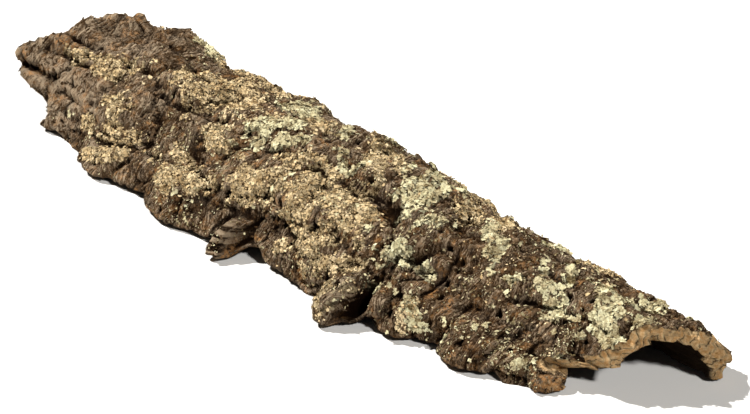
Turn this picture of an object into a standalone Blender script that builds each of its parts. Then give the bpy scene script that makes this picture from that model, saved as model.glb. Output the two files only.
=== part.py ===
# Piece of virgin cork-oak bark: one arched slab that grew as one piece and lies on its long edges.
# Metres, +Z up. X runs along the slab with the cut end at +X, and -Y is the front long edge.
# A point of the slab is named by u along it (0 to 1), v round it (-1 front edge to 1 back edge)
# and t through the wall (0 outer face to 1 inner face).

import bmesh
import bpy
import numpy as np

# Plan and height of the outer face, read along X every STATION_STEP from STATION_START
STATION_START = -0.50
STATION_STEP = 0.05
FRONT_EDGE = [-0.040, -0.044, -0.050, -0.058, -0.066, -0.087, -0.082, -0.093, -0.099, -0.088, -0.088,
              -0.096, -0.100, -0.098, -0.080, -0.087, -0.074, -0.067, -0.068, -0.064, -0.060]
BACK_EDGE = [0.090, 0.098, 0.106, 0.112, 0.116, 0.116, 0.114, 0.112, 0.110, 0.107, 0.104,
             0.100, 0.095, 0.090, 0.084, 0.078, 0.072, 0.066, 0.061, 0.056, 0.053]
CREST = [0.048, 0.054, 0.062, 0.069, 0.073, 0.074, 0.073, 0.072, 0.075, 0.081, 0.084,
         0.083, 0.079, 0.074, 0.068, 0.063, 0.060, 0.060, 0.059, 0.055, 0.050]
LEAN = [0.004, 0.004, 0.006, 0.008, 0.008, 0.008, 0.008, 0.009, 0.010, 0.010, 0.010,
        0.010, 0.011, 0.012, 0.012, 0.012, 0.013, 0.015, 0.017, 0.018, 0.018]

# Read round the arch at equal steps from the front edge to the back edge: where the two broken
# ends lie, how far the near end slopes outwards through the wall, and the thickness of the wall
NEAR_END = [0.338, 0.332, 0.324, 0.362, 0.378, 0.384, 0.388, 0.397, 0.406, 0.411,
            0.416, 0.418, 0.420, 0.420, 0.421, 0.423, 0.425]
FAR_END = [-0.358, -0.356, -0.396, -0.430, -0.446, -0.440, -0.424, -0.416, -0.412,
           -0.410, -0.410, -0.412, -0.414, -0.416, -0.418, -0.420, -0.420]
NEAR_BEVEL = [0.014, 0.016, 0.008, 0.003, 0.002, 0.006, 0.006, 0.004, 0.004]
WALL = [0.012, 0.018, 0.019, 0.015, 0.014, 0.015, 0.018, 0.022, 0.017]
PLAIN_FAR, PLAIN_NEAR = -0.420, 0.415    # the ends before they broke, and the share of the
END_SPREAD = 0.35                        # slab over which its lattice gives way to the breaks

HALF_GIRTH = 0.120           # length of the outer face from its crest to a long edge
DEEPEST_HOLLOW = 0.5         # share of the wall that a hollow may take
RIM_BULGE = 0.004            # how far the broken ends and edges swell outwards
FOOT_REACH = 0.020           # half length of each stretch of edge that touches the ground
EDGE_LIFT = 0.0050           # height of the long edges above the ground between the feet
FOOT_DIP = 0.0025            # depth that the ground plane takes off each foot
FEET = [(-0.300, -1), (0.085, -1), (0.315, -1), (-0.330, 1), (0.020, 1), (0.330, 1)]

# Swellings of the outer face: place along X, place round the arch, half length, half width, height
SWELLINGS = [
    (-0.387, -0.02, 0.034, 0.036, 0.013),    # humps over the far end
    (-0.356, 0.22, 0.020, 0.028, 0.009),
    (-0.298, 0.30, 0.034, 0.040, 0.014),
    (-0.250, 0.24, 0.020, 0.032, 0.003),
    (-0.425, -0.58, 0.020, 0.020, 0.010),    # knuckles at the far tip
    (-0.400, -0.42, 0.020, 0.016, 0.009),
    (-0.400, -0.74, 0.016, 0.016, 0.009),
    (-0.350, -0.95, 0.018, 0.020, 0.007),    # pointed front corner
    (-0.225, -0.95, 0.034, 0.024, 0.007),    # foot of the front face
    (-0.130, -0.90, 0.034, 0.030, 0.006),
    (-0.120, -0.20, 0.040, 0.034, 0.004),    # upper ridge
    (-0.050, -0.05, 0.050, 0.040, 0.005),
    (-0.010, -0.60, 0.060, 0.030, 0.006),    # ridge along the front
    (0.060, -0.55, 0.050, 0.034, 0.007),
    (0.085, 0.10, 0.050, 0.044, 0.005),
    (0.153, -0.29, 0.028, 0.028, 0.009),     # round boss
    (0.199, -0.24, 0.013, 0.014, 0.006),
    (0.235, -0.10, 0.040, 0.036, 0.004),
    (0.178, -0.90, 0.034, 0.030, 0.018),     # low front lobe
    (0.272, -0.88, 0.040, 0.028, 0.010),
    (0.334, -0.97, 0.014, 0.018, 0.008),     # near front corner
    (0.300, 0.05, 0.040, 0.030, 0.004),
    (0.370, -0.20, 0.030, 0.024, 0.004),
    (-0.150, 0.62, 0.070, 0.034, 0.007),     # humps of the back face
    (0.050, 0.70, 0.060, 0.030, 0.006),
    (0.210, 0.70, 0.050, 0.028, 0.003),
]

# Hollows of the outer face, given the same way with a depth
HOLLOWS = [
    (-0.330, -0.60, 0.050, 0.030, 0.003),
    (-0.285, -0.78, 0.018, 0.016, 0.004),
    (-0.191, -0.64, 0.013, 0.011, 0.007),    # pits of the far half
    (-0.203, -0.44, 0.016, 0.008, 0.007),
    (-0.127, -0.56, 0.012, 0.014, 0.006),
    (-0.096, -0.34, 0.012, 0.018, 0.008),
    (-0.172, -0.90, 0.012, 0.024, 0.006),
    (-0.055, -0.46, 0.036, 0.011, 0.005),    # valley between the two ridges
    (0.010, -0.30, 0.034, 0.011, 0.005),
    (0.060, -0.23, 0.030, 0.011, 0.005),
    (0.108, -0.27, 0.018, 0.012, 0.011),     # slot above the round boss
    (0.128, -0.52, 0.014, 0.012, 0.005),
    (0.176, -0.12, 0.014, 0.012, 0.007),
    (0.183, -0.56, 0.034, 0.012, 0.008),     # recess under the boss
    (0.020, -0.84, 0.020, 0.020, 0.004),
    (-0.080, -0.80, 0.020, 0.020, 0.005),
    (0.142, -0.90, 0.010, 0.014, 0.006),     # hollow beside the knob
    (0.250, -0.60, 0.050, 0.012, 0.005),     # furrow above the low lobe
    (0.300, -0.72, 0.030, 0.012, 0.006),
    (0.352, -0.62, 0.012, 0.014, 0.006),
    (0.247, -0.27, 0.018, 0.012, 0.003),
    (-0.336, 0.12, 0.012, 0.020, 0.007),     # dip between the far humps
    (-0.080, 0.30, 0.040, 0.030, 0.006),
    (0.172, 0.26, 0.022, 0.024, 0.004),
    (0.310, 0.30, 0.050, 0.024, 0.003),
    (-0.125, 0.33, 0.030, 0.026, 0.004),
    (-0.020, 0.45, 0.120, 0.014, 0.006),     # furrows of the back face
    (0.220, 0.34, 0.080, 0.012, 0.004),
    (-0.290, 0.64, 0.070, 0.014, 0.005),
]

# Flat-topped growths at the front edge: a broken scale that sticks out, and a knob
FLAP = (-0.037, -0.98, 0.016, 0.020, 0.034)
KNOB = (0.121, -0.94, 0.019, 0.023, 0.034)

PLATE_LENGTH = 0.075         # mean size of the bark plates along and round the slab
PLATE_WIDTH = 0.042
PLATE_STEP = 0.0030          # how much one plate may stand higher than the next
CREASE_DEPTH = 0.0060        # depth of the deepest creases between plates, and their share of a plate
CREASE_WIDTH = 0.16
BOULDER_HEIGHT = 0.0100      # rounded lumps that meet in sharp valleys: height and size, large and small
BOULDER_SIZE = 0.050
COBBLE_HEIGHT = 0.0050
COBBLE_SIZE = 0.023
LUMP_STRETCH = (0.75, 1.1, 1.1)
PLATE_WANDER = 0.020         # how far the plates' outlines wander
FINE_ROUGHNESS = 0.0014
FINE_SIZE = 0.012
MEAN_RELIEF = 0.0020         # average height of the lumps, taken off so that the slab keeps its size
INNER_ROUGHNESS = 0.0022     # gentle waves of the inner face
INNER_SIZE = 0.055
END_ROUGHNESS = 0.0045       # raggedness of the broken ends
END_SIZE = 0.022
END_ZONE = 1 / 16            # share of the half length over which the ends turn ragged
INNER_FOLLOWS = 0.25         # share of the outer relief that shows on the inner face
FISSURE_MEAN, FISSURE_SWING = 0.5, 1.2    # how much of the slab is creased between plates
LUMP_WANDER = 0.4            # how far the lumps are dragged by the wandering of the plates
PLATE_JITTER = 0.7           # how far a plate strays inside its cell
EDGE_LEVELS = 6              # power that keeps the lift and the level rims to the long edges
RIM_ROUNDS = 24              # power that keeps the rim bulge to the long edges
EDGE_LIMIT = 0.998           # last place round the arch where its normal is read
SEED = 11
MIDDLE = (-0.009, -0.005)    # middle of the slab in plan, which is moved to the origin

CUTS_ALONG = 149             # lattice lines that the cube is divided by
CUTS_ROUND = 49
CUTS_THROUGH = 3
FACE_BUDGET = 11400          # triangles that are kept
GROUND_CUTTER = (1.2, 0.6, 0.1)


def clear_scene():
    for obj in list(bpy.data.objects):
        bpy.data.objects.remove(obj, do_unlink=True)


def make_collection(name):
    collection = bpy.data.collections.new(name)
    bpy.context.scene.collection.children.link(collection)
    return collection


def move_to(obj, collection):
    for owner in list(obj.users_collection):
        owner.objects.unlink(obj)
    collection.objects.link(obj)


def through(values, x, start, step):
    """Smooth curve through equally spaced values."""
    values = np.asarray(values, float)
    first = 2 * values[0] - values[1]
    last = 2 * values[-1] - values[-2]
    padded = np.concatenate([[first], values, [last]])
    place = np.clip((np.asarray(x, float) - start) / step, 0, len(values) - 1 - 1e-9)
    index = place.astype(int)
    f = place - index
    a, b, c, d = (padded[index + k] for k in range(4))
    return b + 0.5 * f * (c - a + f * (2 * a - 5 * b + 4 * c - d + f * (3 * (b - c) + d - a)))


def along_slab(values, x):
    return through(values, x, STATION_START, STATION_STEP)


def round_arch(values, v):
    return through(values, v, -1.0, 2.0 / (len(values) - 1))


def arch(u, v, t):
    """Plain arched face: a circular arc between the long edges, leaning towards the back."""
    near = round_arch(NEAR_END, v) + round_arch(NEAR_BEVEL, v) * t - PLAIN_NEAR
    far = round_arch(FAR_END, v) - PLAIN_FAR
    near_share = np.clip((u - 1) / END_SPREAD + 1, 0, None) ** 2
    far_share = np.clip(1 - u / END_SPREAD, 0, None) ** 2
    x = PLAIN_FAR * (1 - u) + PLAIN_NEAR * u + far * far_share + near * near_share
    front, back = along_slab(FRONT_EDGE, x), along_slab(BACK_EDGE, x)
    half_span = (back - front) / 2
    half_angle = 2 * np.arctan(along_slab(CREST, x) / half_span)
    radius = half_span / np.sin(half_angle)
    angle = v * half_angle
    y = (front + back) / 2 + radius * np.sin(angle) + along_slab(LEAN, x) * (1 - v * v)
    z = radius * (np.cos(angle) - np.cos(half_angle))
    return np.stack([x, y, z], axis=-1)


def arch_normal(u, v, t, step=1e-3):
    along = arch(u + step, v, t) - arch(u - step, v, t)
    around = arch(u, v + step, t) - arch(u, v - step, t)
    normal = np.cross(along, around)
    return normal / np.linalg.norm(normal, axis=-1, keepdims=True)


def hashed(i, j, k, seed):
    """Repeatable number from 0 to 1 for each whole-numbered place."""
    table = np.random.RandomState(SEED + seed).permutation(512)
    mixed = table[(table[(table[i % 512] + j) % 512] + k) % 512]
    return mixed / 511.0


def noise(points, size, seed):
    """Smooth noise from about -1 to 1, whose lumps are about the given size."""
    place = points / size
    corner = np.floor(place).astype(int)
    f = place - corner
    f = f * f * f * (f * (f * 6 - 15) + 10)
    total = 0
    for dx in (0, 1):
        for dy in (0, 1):
            for dz in (0, 1):
                weight = (np.where(dx, f[..., 0], 1 - f[..., 0])
                          * np.where(dy, f[..., 1], 1 - f[..., 1])
                          * np.where(dz, f[..., 2], 1 - f[..., 2]))
                value = hashed(corner[..., 0] + dx, corner[..., 1] + dy, corner[..., 2] + dz, seed)
                total = total + weight * (2 * value - 1)
    return total


def mound(x, v, form, sharpness=1.0):
    """Bell of height 1 at a named place; a sharpness over 1 flattens its top."""
    place_x, place_v, half_length, half_width = form[:4]
    distance = ((x - place_x) / half_length) ** 2 + ((v - place_v) * HALF_GIRTH / half_width) ** 2
    return np.exp(-distance ** sharpness)


def plates(x, girth):
    """Level and crease of plates: nearest and second nearest of a jittered grid of points."""
    column = np.floor(x / PLATE_LENGTH).astype(int)
    row = np.floor(girth / PLATE_WIDTH).astype(int)
    nearest = np.full(x.shape, 9.0)
    second = np.full(x.shape, 9.0)
    level = np.zeros(x.shape)
    margin = (1 - PLATE_JITTER) / 2
    for dc in (-1, 0, 1):
        for dr in (-1, 0, 1):
            c, r = column + dc, row + dr
            seed_x = c + margin + PLATE_JITTER * hashed(c, r, 0, 3) - x / PLATE_LENGTH
            seed_g = r + margin + PLATE_JITTER * hashed(c, r, 1, 3) - girth / PLATE_WIDTH
            distance = np.hypot(seed_x, seed_g)
            closer = distance < nearest
            second = np.where(closer, nearest, np.minimum(second, distance))
            level = np.where(closer, 2 * hashed(c, r, 2, 3) - 1, level)
            nearest = np.where(closer, distance, nearest)
    gap = (second - nearest) / CREASE_WIDTH
    return PLATE_STEP * level * np.clip(gap, 0, 1), np.exp(-gap ** 2)


def outer_relief(place, v):
    x = place[..., 0]
    relief = sum(form[4] * mound(x, v, form) for form in SWELLINGS)
    relief = relief - sum(form[4] * mound(x, v, form) for form in HOLLOWS)
    relief = relief + FLAP[4] * mound(x, v, FLAP, 2.0) + KNOB[4] * mound(x, v, KNOB, 1.6)
    wander_x = PLATE_WANDER * noise(place, BOULDER_SIZE, 1)
    wander_g = PLATE_WANDER * noise(place, BOULDER_SIZE, 2)
    level, crease = plates(x + wander_x, v * HALF_GIRTH + wander_g)
    fissured = np.clip(FISSURE_MEAN + FISSURE_SWING * noise(place, PLATE_LENGTH, 3), 0, 1)
    relief = relief + level - CREASE_DEPTH * crease * fissured
    dragged = LUMP_WANDER * np.stack([wander_x, wander_g, wander_x], axis=-1)
    stretched = place * LUMP_STRETCH + dragged
    relief = relief + BOULDER_HEIGHT * np.abs(noise(stretched, BOULDER_SIZE, 4))
    relief = relief + COBBLE_HEIGHT * np.abs(noise(stretched, COBBLE_SIZE, 8))
    return relief + FINE_ROUGHNESS * noise(place, FINE_SIZE, 5) - MEAN_RELIEF


def edge_height(x, v):
    """Height of the long edges over the ground: lifted, but dipping under it at each foot."""
    foot = sum(np.exp(-((x - place) / FOOT_REACH) ** 4) * (v * side > 0) for place, side in FEET)
    return (EDGE_LIFT - (EDGE_LIFT + FOOT_DIP) * np.clip(foot, 0, 1)) * np.abs(v) ** EDGE_LEVELS


def slab_points(u, v, t):
    """The slab's lattice: wall thickness and relief along the arch's normal, then ragged rims."""
    place = arch(u, v, t)
    normal = arch_normal(u, np.clip(v, -EDGE_LIMIT, EDGE_LIMIT), t)
    normal[..., 2] *= 1 - v ** EDGE_LEVELS    # level across the wall at the long edges
    wall = round_arch(WALL, v)
    outer = np.maximum(outer_relief(arch(u, v, 0 * t), v), -DEEPEST_HOLLOW * wall)
    inner = INNER_ROUGHNESS * noise(place, INNER_SIZE, 6) + INNER_FOLLOWS * outer
    offset = outer * (1 - t) + inner * t - wall * t
    points = place + normal * offset[..., None]
    swell = RIM_BULGE * 4 * t * (1 - t)
    ragged = END_ROUGHNESS * noise(points, END_SIZE, 7)
    at_end = np.clip((np.abs(2 * u - 1) - 1) / END_ZONE + 1, 0, 1)
    points[..., 0] += np.sign(u - 0.5) * (swell + ragged) * at_end
    points[..., 2] += edge_height(points[..., 0], v) - swell * np.abs(v) ** RIM_ROUNDS
    points[..., :2] -= MIDDLE
    return points


def lattice_cube(name):
    """A cube of side 2 whose edges are divided separately along, round and through the wall."""
    bpy.ops.mesh.primitive_cube_add(size=2)
    cube = bpy.context.active_object
    cube.name = name
    cube.data.name = name
    lattice = bmesh.new()
    lattice.from_mesh(cube.data)
    for axis, cuts in enumerate((CUTS_ALONG, CUTS_ROUND, CUTS_THROUGH)):
        edges = [e for e in lattice.edges if abs(e.verts[0].co[axis] - e.verts[1].co[axis]) > 1e-6]
        bmesh.ops.subdivide_edges(lattice, edges=edges, cuts=cuts, use_grid_fill=True)
    lattice.to_mesh(cube.data)
    lattice.free()
    return cube


def bark_material():
    material = bpy.data.materials.new("weathered cork bark")
    material.use_nodes = True
    shader = material.node_tree.nodes["Principled BSDF"]
    shader.inputs["Base Color"].default_value = (0.115, 0.080, 0.052, 1)
    shader.inputs["Roughness"].default_value = 0.9
    shader.inputs["Metallic"].default_value = 0.0
    return material


def ground_cutter(collection):
    bpy.ops.mesh.primitive_cube_add(size=1, location=(0, 0, -GROUND_CUTTER[2] / 2))
    cutter = bpy.context.active_object
    cutter.name = "ground cutter"
    cutter.scale = GROUND_CUTTER
    bpy.ops.object.transform_apply(location=False, rotation=False, scale=True)
    cutter.hide_render = True
    cutter.display_type = "WIRE"
    move_to(cutter, collection)
    return cutter


def make_bark(collection, cutters):
    bark = lattice_cube("bark")
    count = len(bark.data.vertices)
    corners = np.empty(count * 3)
    bark.data.vertices.foreach_get("co", corners)
    corners = corners.reshape(-1, 3)
    u, v, t = (corners[:, 0] + 1) / 2, corners[:, 1], (1 - corners[:, 2]) / 2
    bark.data.vertices.foreach_set("co", slab_points(u, v, t).ravel())
    bark.data.update()
    move_to(bark, collection)
    bark.data.materials.append(bark_material())
    bark.data.shade_smooth()

    thin = bark.modifiers.new("fewer faces", "DECIMATE")
    thin.ratio = FACE_BUDGET / (2 * len(bark.data.polygons))
    thin.use_collapse_triangulate = True
    feet = bark.modifiers.new("flat feet", "BOOLEAN")
    feet.operation = "DIFFERENCE"
    feet.solver = "EXACT"
    feet.object = cutters.objects["ground cutter"]
    return bark


def main():
    clear_scene()
    parts = make_collection("Piece of bark")
    cutters = make_collection("Cutters")
    ground_cutter(cutters)
    make_bark(parts, cutters)


main()
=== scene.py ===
# A piece of virgin cork-oak bark: furrowed outer face, broken ends, pale lichens and loose chips.
# The slab's form is worked out again from the values that the frame was made from, at a finer grain.

import math
import bpy
import numpy as np
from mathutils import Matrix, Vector


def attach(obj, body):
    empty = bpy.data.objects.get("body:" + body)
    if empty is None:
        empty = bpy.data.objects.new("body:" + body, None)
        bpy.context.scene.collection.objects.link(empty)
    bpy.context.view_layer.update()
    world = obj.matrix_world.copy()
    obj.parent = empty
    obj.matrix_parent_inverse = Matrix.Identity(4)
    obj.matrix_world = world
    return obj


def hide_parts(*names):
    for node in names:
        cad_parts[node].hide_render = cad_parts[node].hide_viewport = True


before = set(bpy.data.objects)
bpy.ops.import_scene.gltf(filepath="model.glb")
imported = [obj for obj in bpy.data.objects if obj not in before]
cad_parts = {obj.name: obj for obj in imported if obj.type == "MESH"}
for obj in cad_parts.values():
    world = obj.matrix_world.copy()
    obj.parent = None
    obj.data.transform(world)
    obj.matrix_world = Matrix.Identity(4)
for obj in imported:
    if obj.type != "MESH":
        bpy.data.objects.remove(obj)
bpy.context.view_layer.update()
print("frame loaded")


# Camera

shot = {
    "azimuth": 46.0,            # degrees from the front long edge towards the near end
    "elevation": 28.0,
    "distance": 3.0,            # metres from the point it looks at
    "aim": (0.042, 0.029, 0.030),
    "lens": 155.0,
    "sensor": 36.0,
}


def direction(azimuth, elevation):
    # unit vector from the object: azimuth 0 is towards -Y and 90 towards +X
    a, e = math.radians(azimuth), math.radians(elevation)
    return Vector((math.sin(a) * math.cos(e), -math.cos(a) * math.cos(e), math.sin(e)))


def makeCamera():
    back = direction(shot["azimuth"], shot["elevation"])
    data = bpy.data.cameras.new("camera")
    data.lens = shot["lens"]
    data.sensor_width = shot["sensor"]
    camera = bpy.data.objects.new("camera", data)
    camera.location = Vector(shot["aim"]) + back * shot["distance"]
    camera.rotation_euler = back.to_track_quat("Z", "Y").to_euler()
    bpy.context.collection.objects.link(camera)
    bpy.context.scene.camera = camera


makeCamera()
print("camera placed")


# Form of the slab

slab = {
    "stationStart": -0.50,      # plan and height of the outer face, read along X at equal steps
    "stationStep": 0.05,
    "frontEdge": [-0.040, -0.044, -0.050, -0.058, -0.066, -0.087, -0.082, -0.093, -0.099, -0.088, -0.088,
                  -0.096, -0.100, -0.098, -0.080, -0.087, -0.074, -0.067, -0.068, -0.064, -0.060],
    "backEdge": [0.090, 0.098, 0.106, 0.112, 0.116, 0.116, 0.114, 0.112, 0.110, 0.107, 0.104,
                 0.100, 0.095, 0.090, 0.084, 0.078, 0.072, 0.066, 0.061, 0.056, 0.053],
    "crest": [0.048, 0.054, 0.062, 0.069, 0.073, 0.074, 0.073, 0.072, 0.075, 0.081, 0.084,
              0.083, 0.079, 0.074, 0.068, 0.063, 0.060, 0.060, 0.059, 0.055, 0.050],
    "lean": [0.004, 0.004, 0.006, 0.008, 0.008, 0.008, 0.008, 0.009, 0.010, 0.010, 0.010,
             0.010, 0.011, 0.012, 0.012, 0.012, 0.013, 0.015, 0.017, 0.018, 0.018],
    "nearEnd": [0.338, 0.332, 0.324, 0.362, 0.378, 0.384, 0.388, 0.397, 0.406, 0.411,    # round the arch
                0.416, 0.418, 0.420, 0.420, 0.421, 0.423, 0.425],
    "farEnd": [-0.358, -0.356, -0.396, -0.430, -0.446, -0.440, -0.424, -0.416, -0.412,
               -0.410, -0.410, -0.412, -0.414, -0.416, -0.418, -0.420, -0.420],
    "nearBevel": [0.014, 0.016, 0.008, 0.003, 0.002, 0.006, 0.006, 0.004, 0.004],
    "wall": [0.012, 0.018, 0.019, 0.015, 0.014, 0.015, 0.018, 0.022, 0.017],
    "plainFar": -0.420,         # the ends before they broke
    "plainNear": 0.415,
    "endSpread": 0.35,
    "halfGirth": 0.120,         # metres from the crest to a long edge, along the outer face
    "deepestHollow": 0.62,      # share of the wall that a hollow may take
    "rimBulge": 0.004,
    "footReach": 0.020,
    "edgeLift": 0.0050,
    "footDip": 0.0025,
    "feet": [(-0.300, -1), (0.085, -1), (0.315, -1), (-0.330, 1), (0.020, 1), (0.330, 1)],
    "plateLength": 0.075,
    "plateWidth": 0.042,
    "plateStep": 0.0030,
    "plateJitter": 0.7,
    "plateWander": 0.020,
    "creaseDepth": 0.0060,
    "creaseWidth": 0.16,
    "fissureMean": 0.5,
    "fissureSwing": 1.2,
    "boulderHeight": 0.0100,
    "boulderSize": 0.050,
    "cobbleHeight": 0.0050,
    "cobbleSize": 0.023,
    "lumpStretch": (0.75, 1.1, 1.1),
    "lumpWander": 0.4,
    "fineHeight": 0.0014,
    "fineSize": 0.012,
    "meanRelief": 0.0020,
    "innerHeight": 0.0022,
    "innerSize": 0.055,
    "innerFollows": 0.25,
    "endHeight": 0.0045,
    "endSize": 0.022,
    "endZone": 1 / 16,
    "edgeLevels": 6,
    "rimRounds": 24,
    "edgeLimit": 0.998,
    "seed": 11,
    "middle": (-0.009, -0.005),
    "ceiling": 0.0925,          # heights over this are pressed down to this share of their excess
    "overCeiling": 0.35,
}

# Swellings and hollows of the outer face: place along X, place round the arch, half length,
# half width, height
swellings = [
    (-0.387, -0.02, 0.034, 0.036, 0.013),    # humps over the far end
    (-0.356, 0.22, 0.020, 0.028, 0.009),
    (-0.298, 0.30, 0.034, 0.040, 0.014),
    (-0.250, 0.24, 0.020, 0.032, 0.003),
    (-0.425, -0.58, 0.020, 0.020, 0.010),    # knuckles at the far tip
    (-0.400, -0.42, 0.020, 0.016, 0.009),
    (-0.400, -0.74, 0.016, 0.016, 0.009),
    (-0.350, -0.95, 0.018, 0.020, 0.007),    # pointed front corner
    (-0.225, -0.95, 0.034, 0.024, 0.007),    # foot of the front face
    (-0.130, -0.90, 0.034, 0.030, 0.006),
    (-0.120, -0.20, 0.040, 0.034, 0.004),    # upper ridge
    (-0.050, -0.05, 0.050, 0.040, 0.005),
    (-0.010, -0.60, 0.060, 0.030, 0.006),    # ridge along the front
    (0.060, -0.55, 0.050, 0.034, 0.007),
    (0.085, 0.10, 0.050, 0.044, 0.005),
    (0.153, -0.29, 0.028, 0.028, 0.009),     # round boss
    (0.199, -0.24, 0.013, 0.014, 0.006),
    (0.235, -0.10, 0.040, 0.036, 0.004),
    (0.178, -0.90, 0.034, 0.030, 0.018),     # low front lobe
    (0.272, -0.88, 0.040, 0.028, 0.010),
    (0.334, -0.97, 0.014, 0.018, 0.008),     # near front corner
    (0.300, 0.05, 0.040, 0.030, 0.004),
    (0.370, -0.20, 0.030, 0.024, 0.004),
    (-0.150, 0.62, 0.070, 0.034, 0.007),     # humps of the back face
    (0.050, 0.70, 0.060, 0.030, 0.006),
    (0.210, 0.70, 0.050, 0.028, 0.003),
]
hollows = [
    (-0.330, -0.60, 0.050, 0.030, 0.003),
    (-0.285, -0.78, 0.018, 0.016, 0.004),
    (-0.191, -0.64, 0.013, 0.011, 0.007),    # pits of the far half
    (-0.203, -0.44, 0.016, 0.008, 0.007),
    (-0.127, -0.56, 0.012, 0.014, 0.006),
    (-0.096, -0.34, 0.012, 0.018, 0.008),
    (-0.172, -0.90, 0.012, 0.024, 0.006),
    (-0.055, -0.46, 0.036, 0.011, 0.005),    # valley between the two ridges
    (0.010, -0.30, 0.034, 0.011, 0.005),
    (0.060, -0.23, 0.030, 0.011, 0.005),
    (0.108, -0.27, 0.018, 0.012, 0.011),     # slot above the round boss
    (0.128, -0.52, 0.014, 0.012, 0.005),
    (0.176, -0.12, 0.014, 0.012, 0.007),
    (0.183, -0.56, 0.034, 0.012, 0.008),     # recess under the boss
    (0.020, -0.84, 0.020, 0.020, 0.004),
    (-0.080, -0.80, 0.020, 0.020, 0.005),
    (0.142, -0.90, 0.010, 0.014, 0.006),     # hollow beside the knob
    (0.250, -0.60, 0.050, 0.012, 0.005),     # furrow above the low lobe
    (0.300, -0.72, 0.030, 0.012, 0.006),
    (0.352, -0.62, 0.012, 0.014, 0.006),
    (0.247, -0.27, 0.018, 0.012, 0.003),
    (-0.336, 0.12, 0.012, 0.020, 0.007),     # dip between the far humps
    (-0.080, 0.30, 0.040, 0.030, 0.006),
    (0.172, 0.26, 0.022, 0.024, 0.004),
    (0.310, 0.30, 0.050, 0.024, 0.003),
    (-0.125, 0.33, 0.030, 0.026, 0.004),
    (-0.020, 0.45, 0.120, 0.014, 0.006),     # furrows of the back face
    (0.220, 0.34, 0.080, 0.012, 0.004),
    (-0.290, 0.64, 0.070, 0.014, 0.005),
]
# Smaller forms that only this finer surface has, given the same way
fineSwellings = [
    (-0.418, -0.51, 0.014, 0.010, 0.004),    # knuckles at the far tip
    (-0.390, -0.70, 0.012, 0.010, 0.004),
    (-0.385, -0.30, 0.012, 0.008, 0.004),
    (-0.383, -0.10, 0.014, 0.012, 0.003),
    (-0.350, 0.22, 0.012, 0.014, 0.006),
    (-0.300, 0.26, 0.020, 0.020, 0.003),
    (0.300, -0.86, 0.014, 0.012, 0.004),
    (0.245, -0.92, 0.010, 0.012, 0.004),
    (-0.205, -0.97, 0.010, 0.010, 0.003),
    (-0.090, -0.96, 0.012, 0.010, 0.003),
    (0.045, -0.97, 0.010, 0.010, 0.003),
]
fineHollows = [
    (-0.405, -0.615, 0.026, 0.0035, 0.009),  # clefts between the knuckles
    (-0.394, -0.42, 0.006, 0.009, 0.006),
    (-0.372, -0.24, 0.020, 0.0035, 0.005),
    (-0.364, 0.08, 0.008, 0.022, 0.009),
    (-0.322, 0.22, 0.010, 0.024, 0.006),
    (-0.368, -0.62, 0.012, 0.0060, 0.004),
    (0.139, -0.92, 0.009, 0.026, 0.030),     # dark hollow beside the knob
    (0.100, -0.90, 0.005, 0.016, 0.004),
    (-0.020, -0.92, 0.005, 0.020, 0.006),    # gap behind the broken scale
    (-0.055, -0.92, 0.005, 0.018, 0.004),
    (0.352, -0.63, 0.016, 0.0035, 0.006),
]
brokenScale = (-0.037, -0.98, 0.016, 0.020, 0.034)
knob = (0.121, -0.94, 0.019, 0.023, 0.034)


def through(values, x, start, step):
    # smooth curve through equally spaced values: a cubic over each step
    values = np.asarray(values, float)
    padded = np.concatenate([[2 * values[0] - values[1]], values, [2 * values[-1] - values[-2]]])
    place = np.clip((np.asarray(x, float) - start) / step, 0, len(values) - 1 - 1e-9)
    index = place.astype(int)
    f = place - index
    a, b, c, d = (padded[index + k] for k in range(4))
    return b + 0.5 * f * (c - a + f * (2 * a - 5 * b + 4 * c - d + f * (3 * (b - c) + d - a)))


def alongSlab(name, x):
    return through(slab[name], x, slab["stationStart"], slab["stationStep"])


def roundArch(name, v):
    return through(slab[name], v, -1.0, 2.0 / (len(slab[name]) - 1))


def arch(u, v, t):
    # plain arched face: u runs along it, v round a circular arc between the long edges, t through the wall
    near = roundArch("nearEnd", v) + roundArch("nearBevel", v) * t - slab["plainNear"]
    far = roundArch("farEnd", v) - slab["plainFar"]
    nearShare = np.clip((u - 1) / slab["endSpread"] + 1, 0, None) ** 2
    farShare = np.clip(1 - u / slab["endSpread"], 0, None) ** 2
    x = slab["plainFar"] * (1 - u) + slab["plainNear"] * u + far * farShare + near * nearShare
    front, back = alongSlab("frontEdge", x), alongSlab("backEdge", x)
    halfSpan = (back - front) / 2
    halfAngle = 2 * np.arctan(alongSlab("crest", x) / halfSpan)
    radius = halfSpan / np.sin(halfAngle)
    angle = v * halfAngle
    y = (front + back) / 2 + radius * np.sin(angle) + alongSlab("lean", x) * (1 - v * v)
    z = radius * (np.cos(angle) - np.cos(halfAngle))
    return np.stack([x, y, z], axis=-1)


def unit(vectors):
    return vectors / np.maximum(np.linalg.norm(vectors, axis=-1, keepdims=True), 1e-12)


def archNormal(u, v, t, step=1e-3):
    # cross product of the two slopes of the arch
    along = arch(u + step, v, t) - arch(u - step, v, t)
    around = arch(u, v + step, t) - arch(u, v - step, t)
    return unit(np.cross(along, around))


def hashed(i, j, k, seed):
    # repeatable number from 0 to 1 for each whole-numbered place
    table = np.random.RandomState(slab["seed"] + seed).permutation(512)
    return table[(table[(table[i % 512] + j) % 512] + k) % 512] / 511.0


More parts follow.
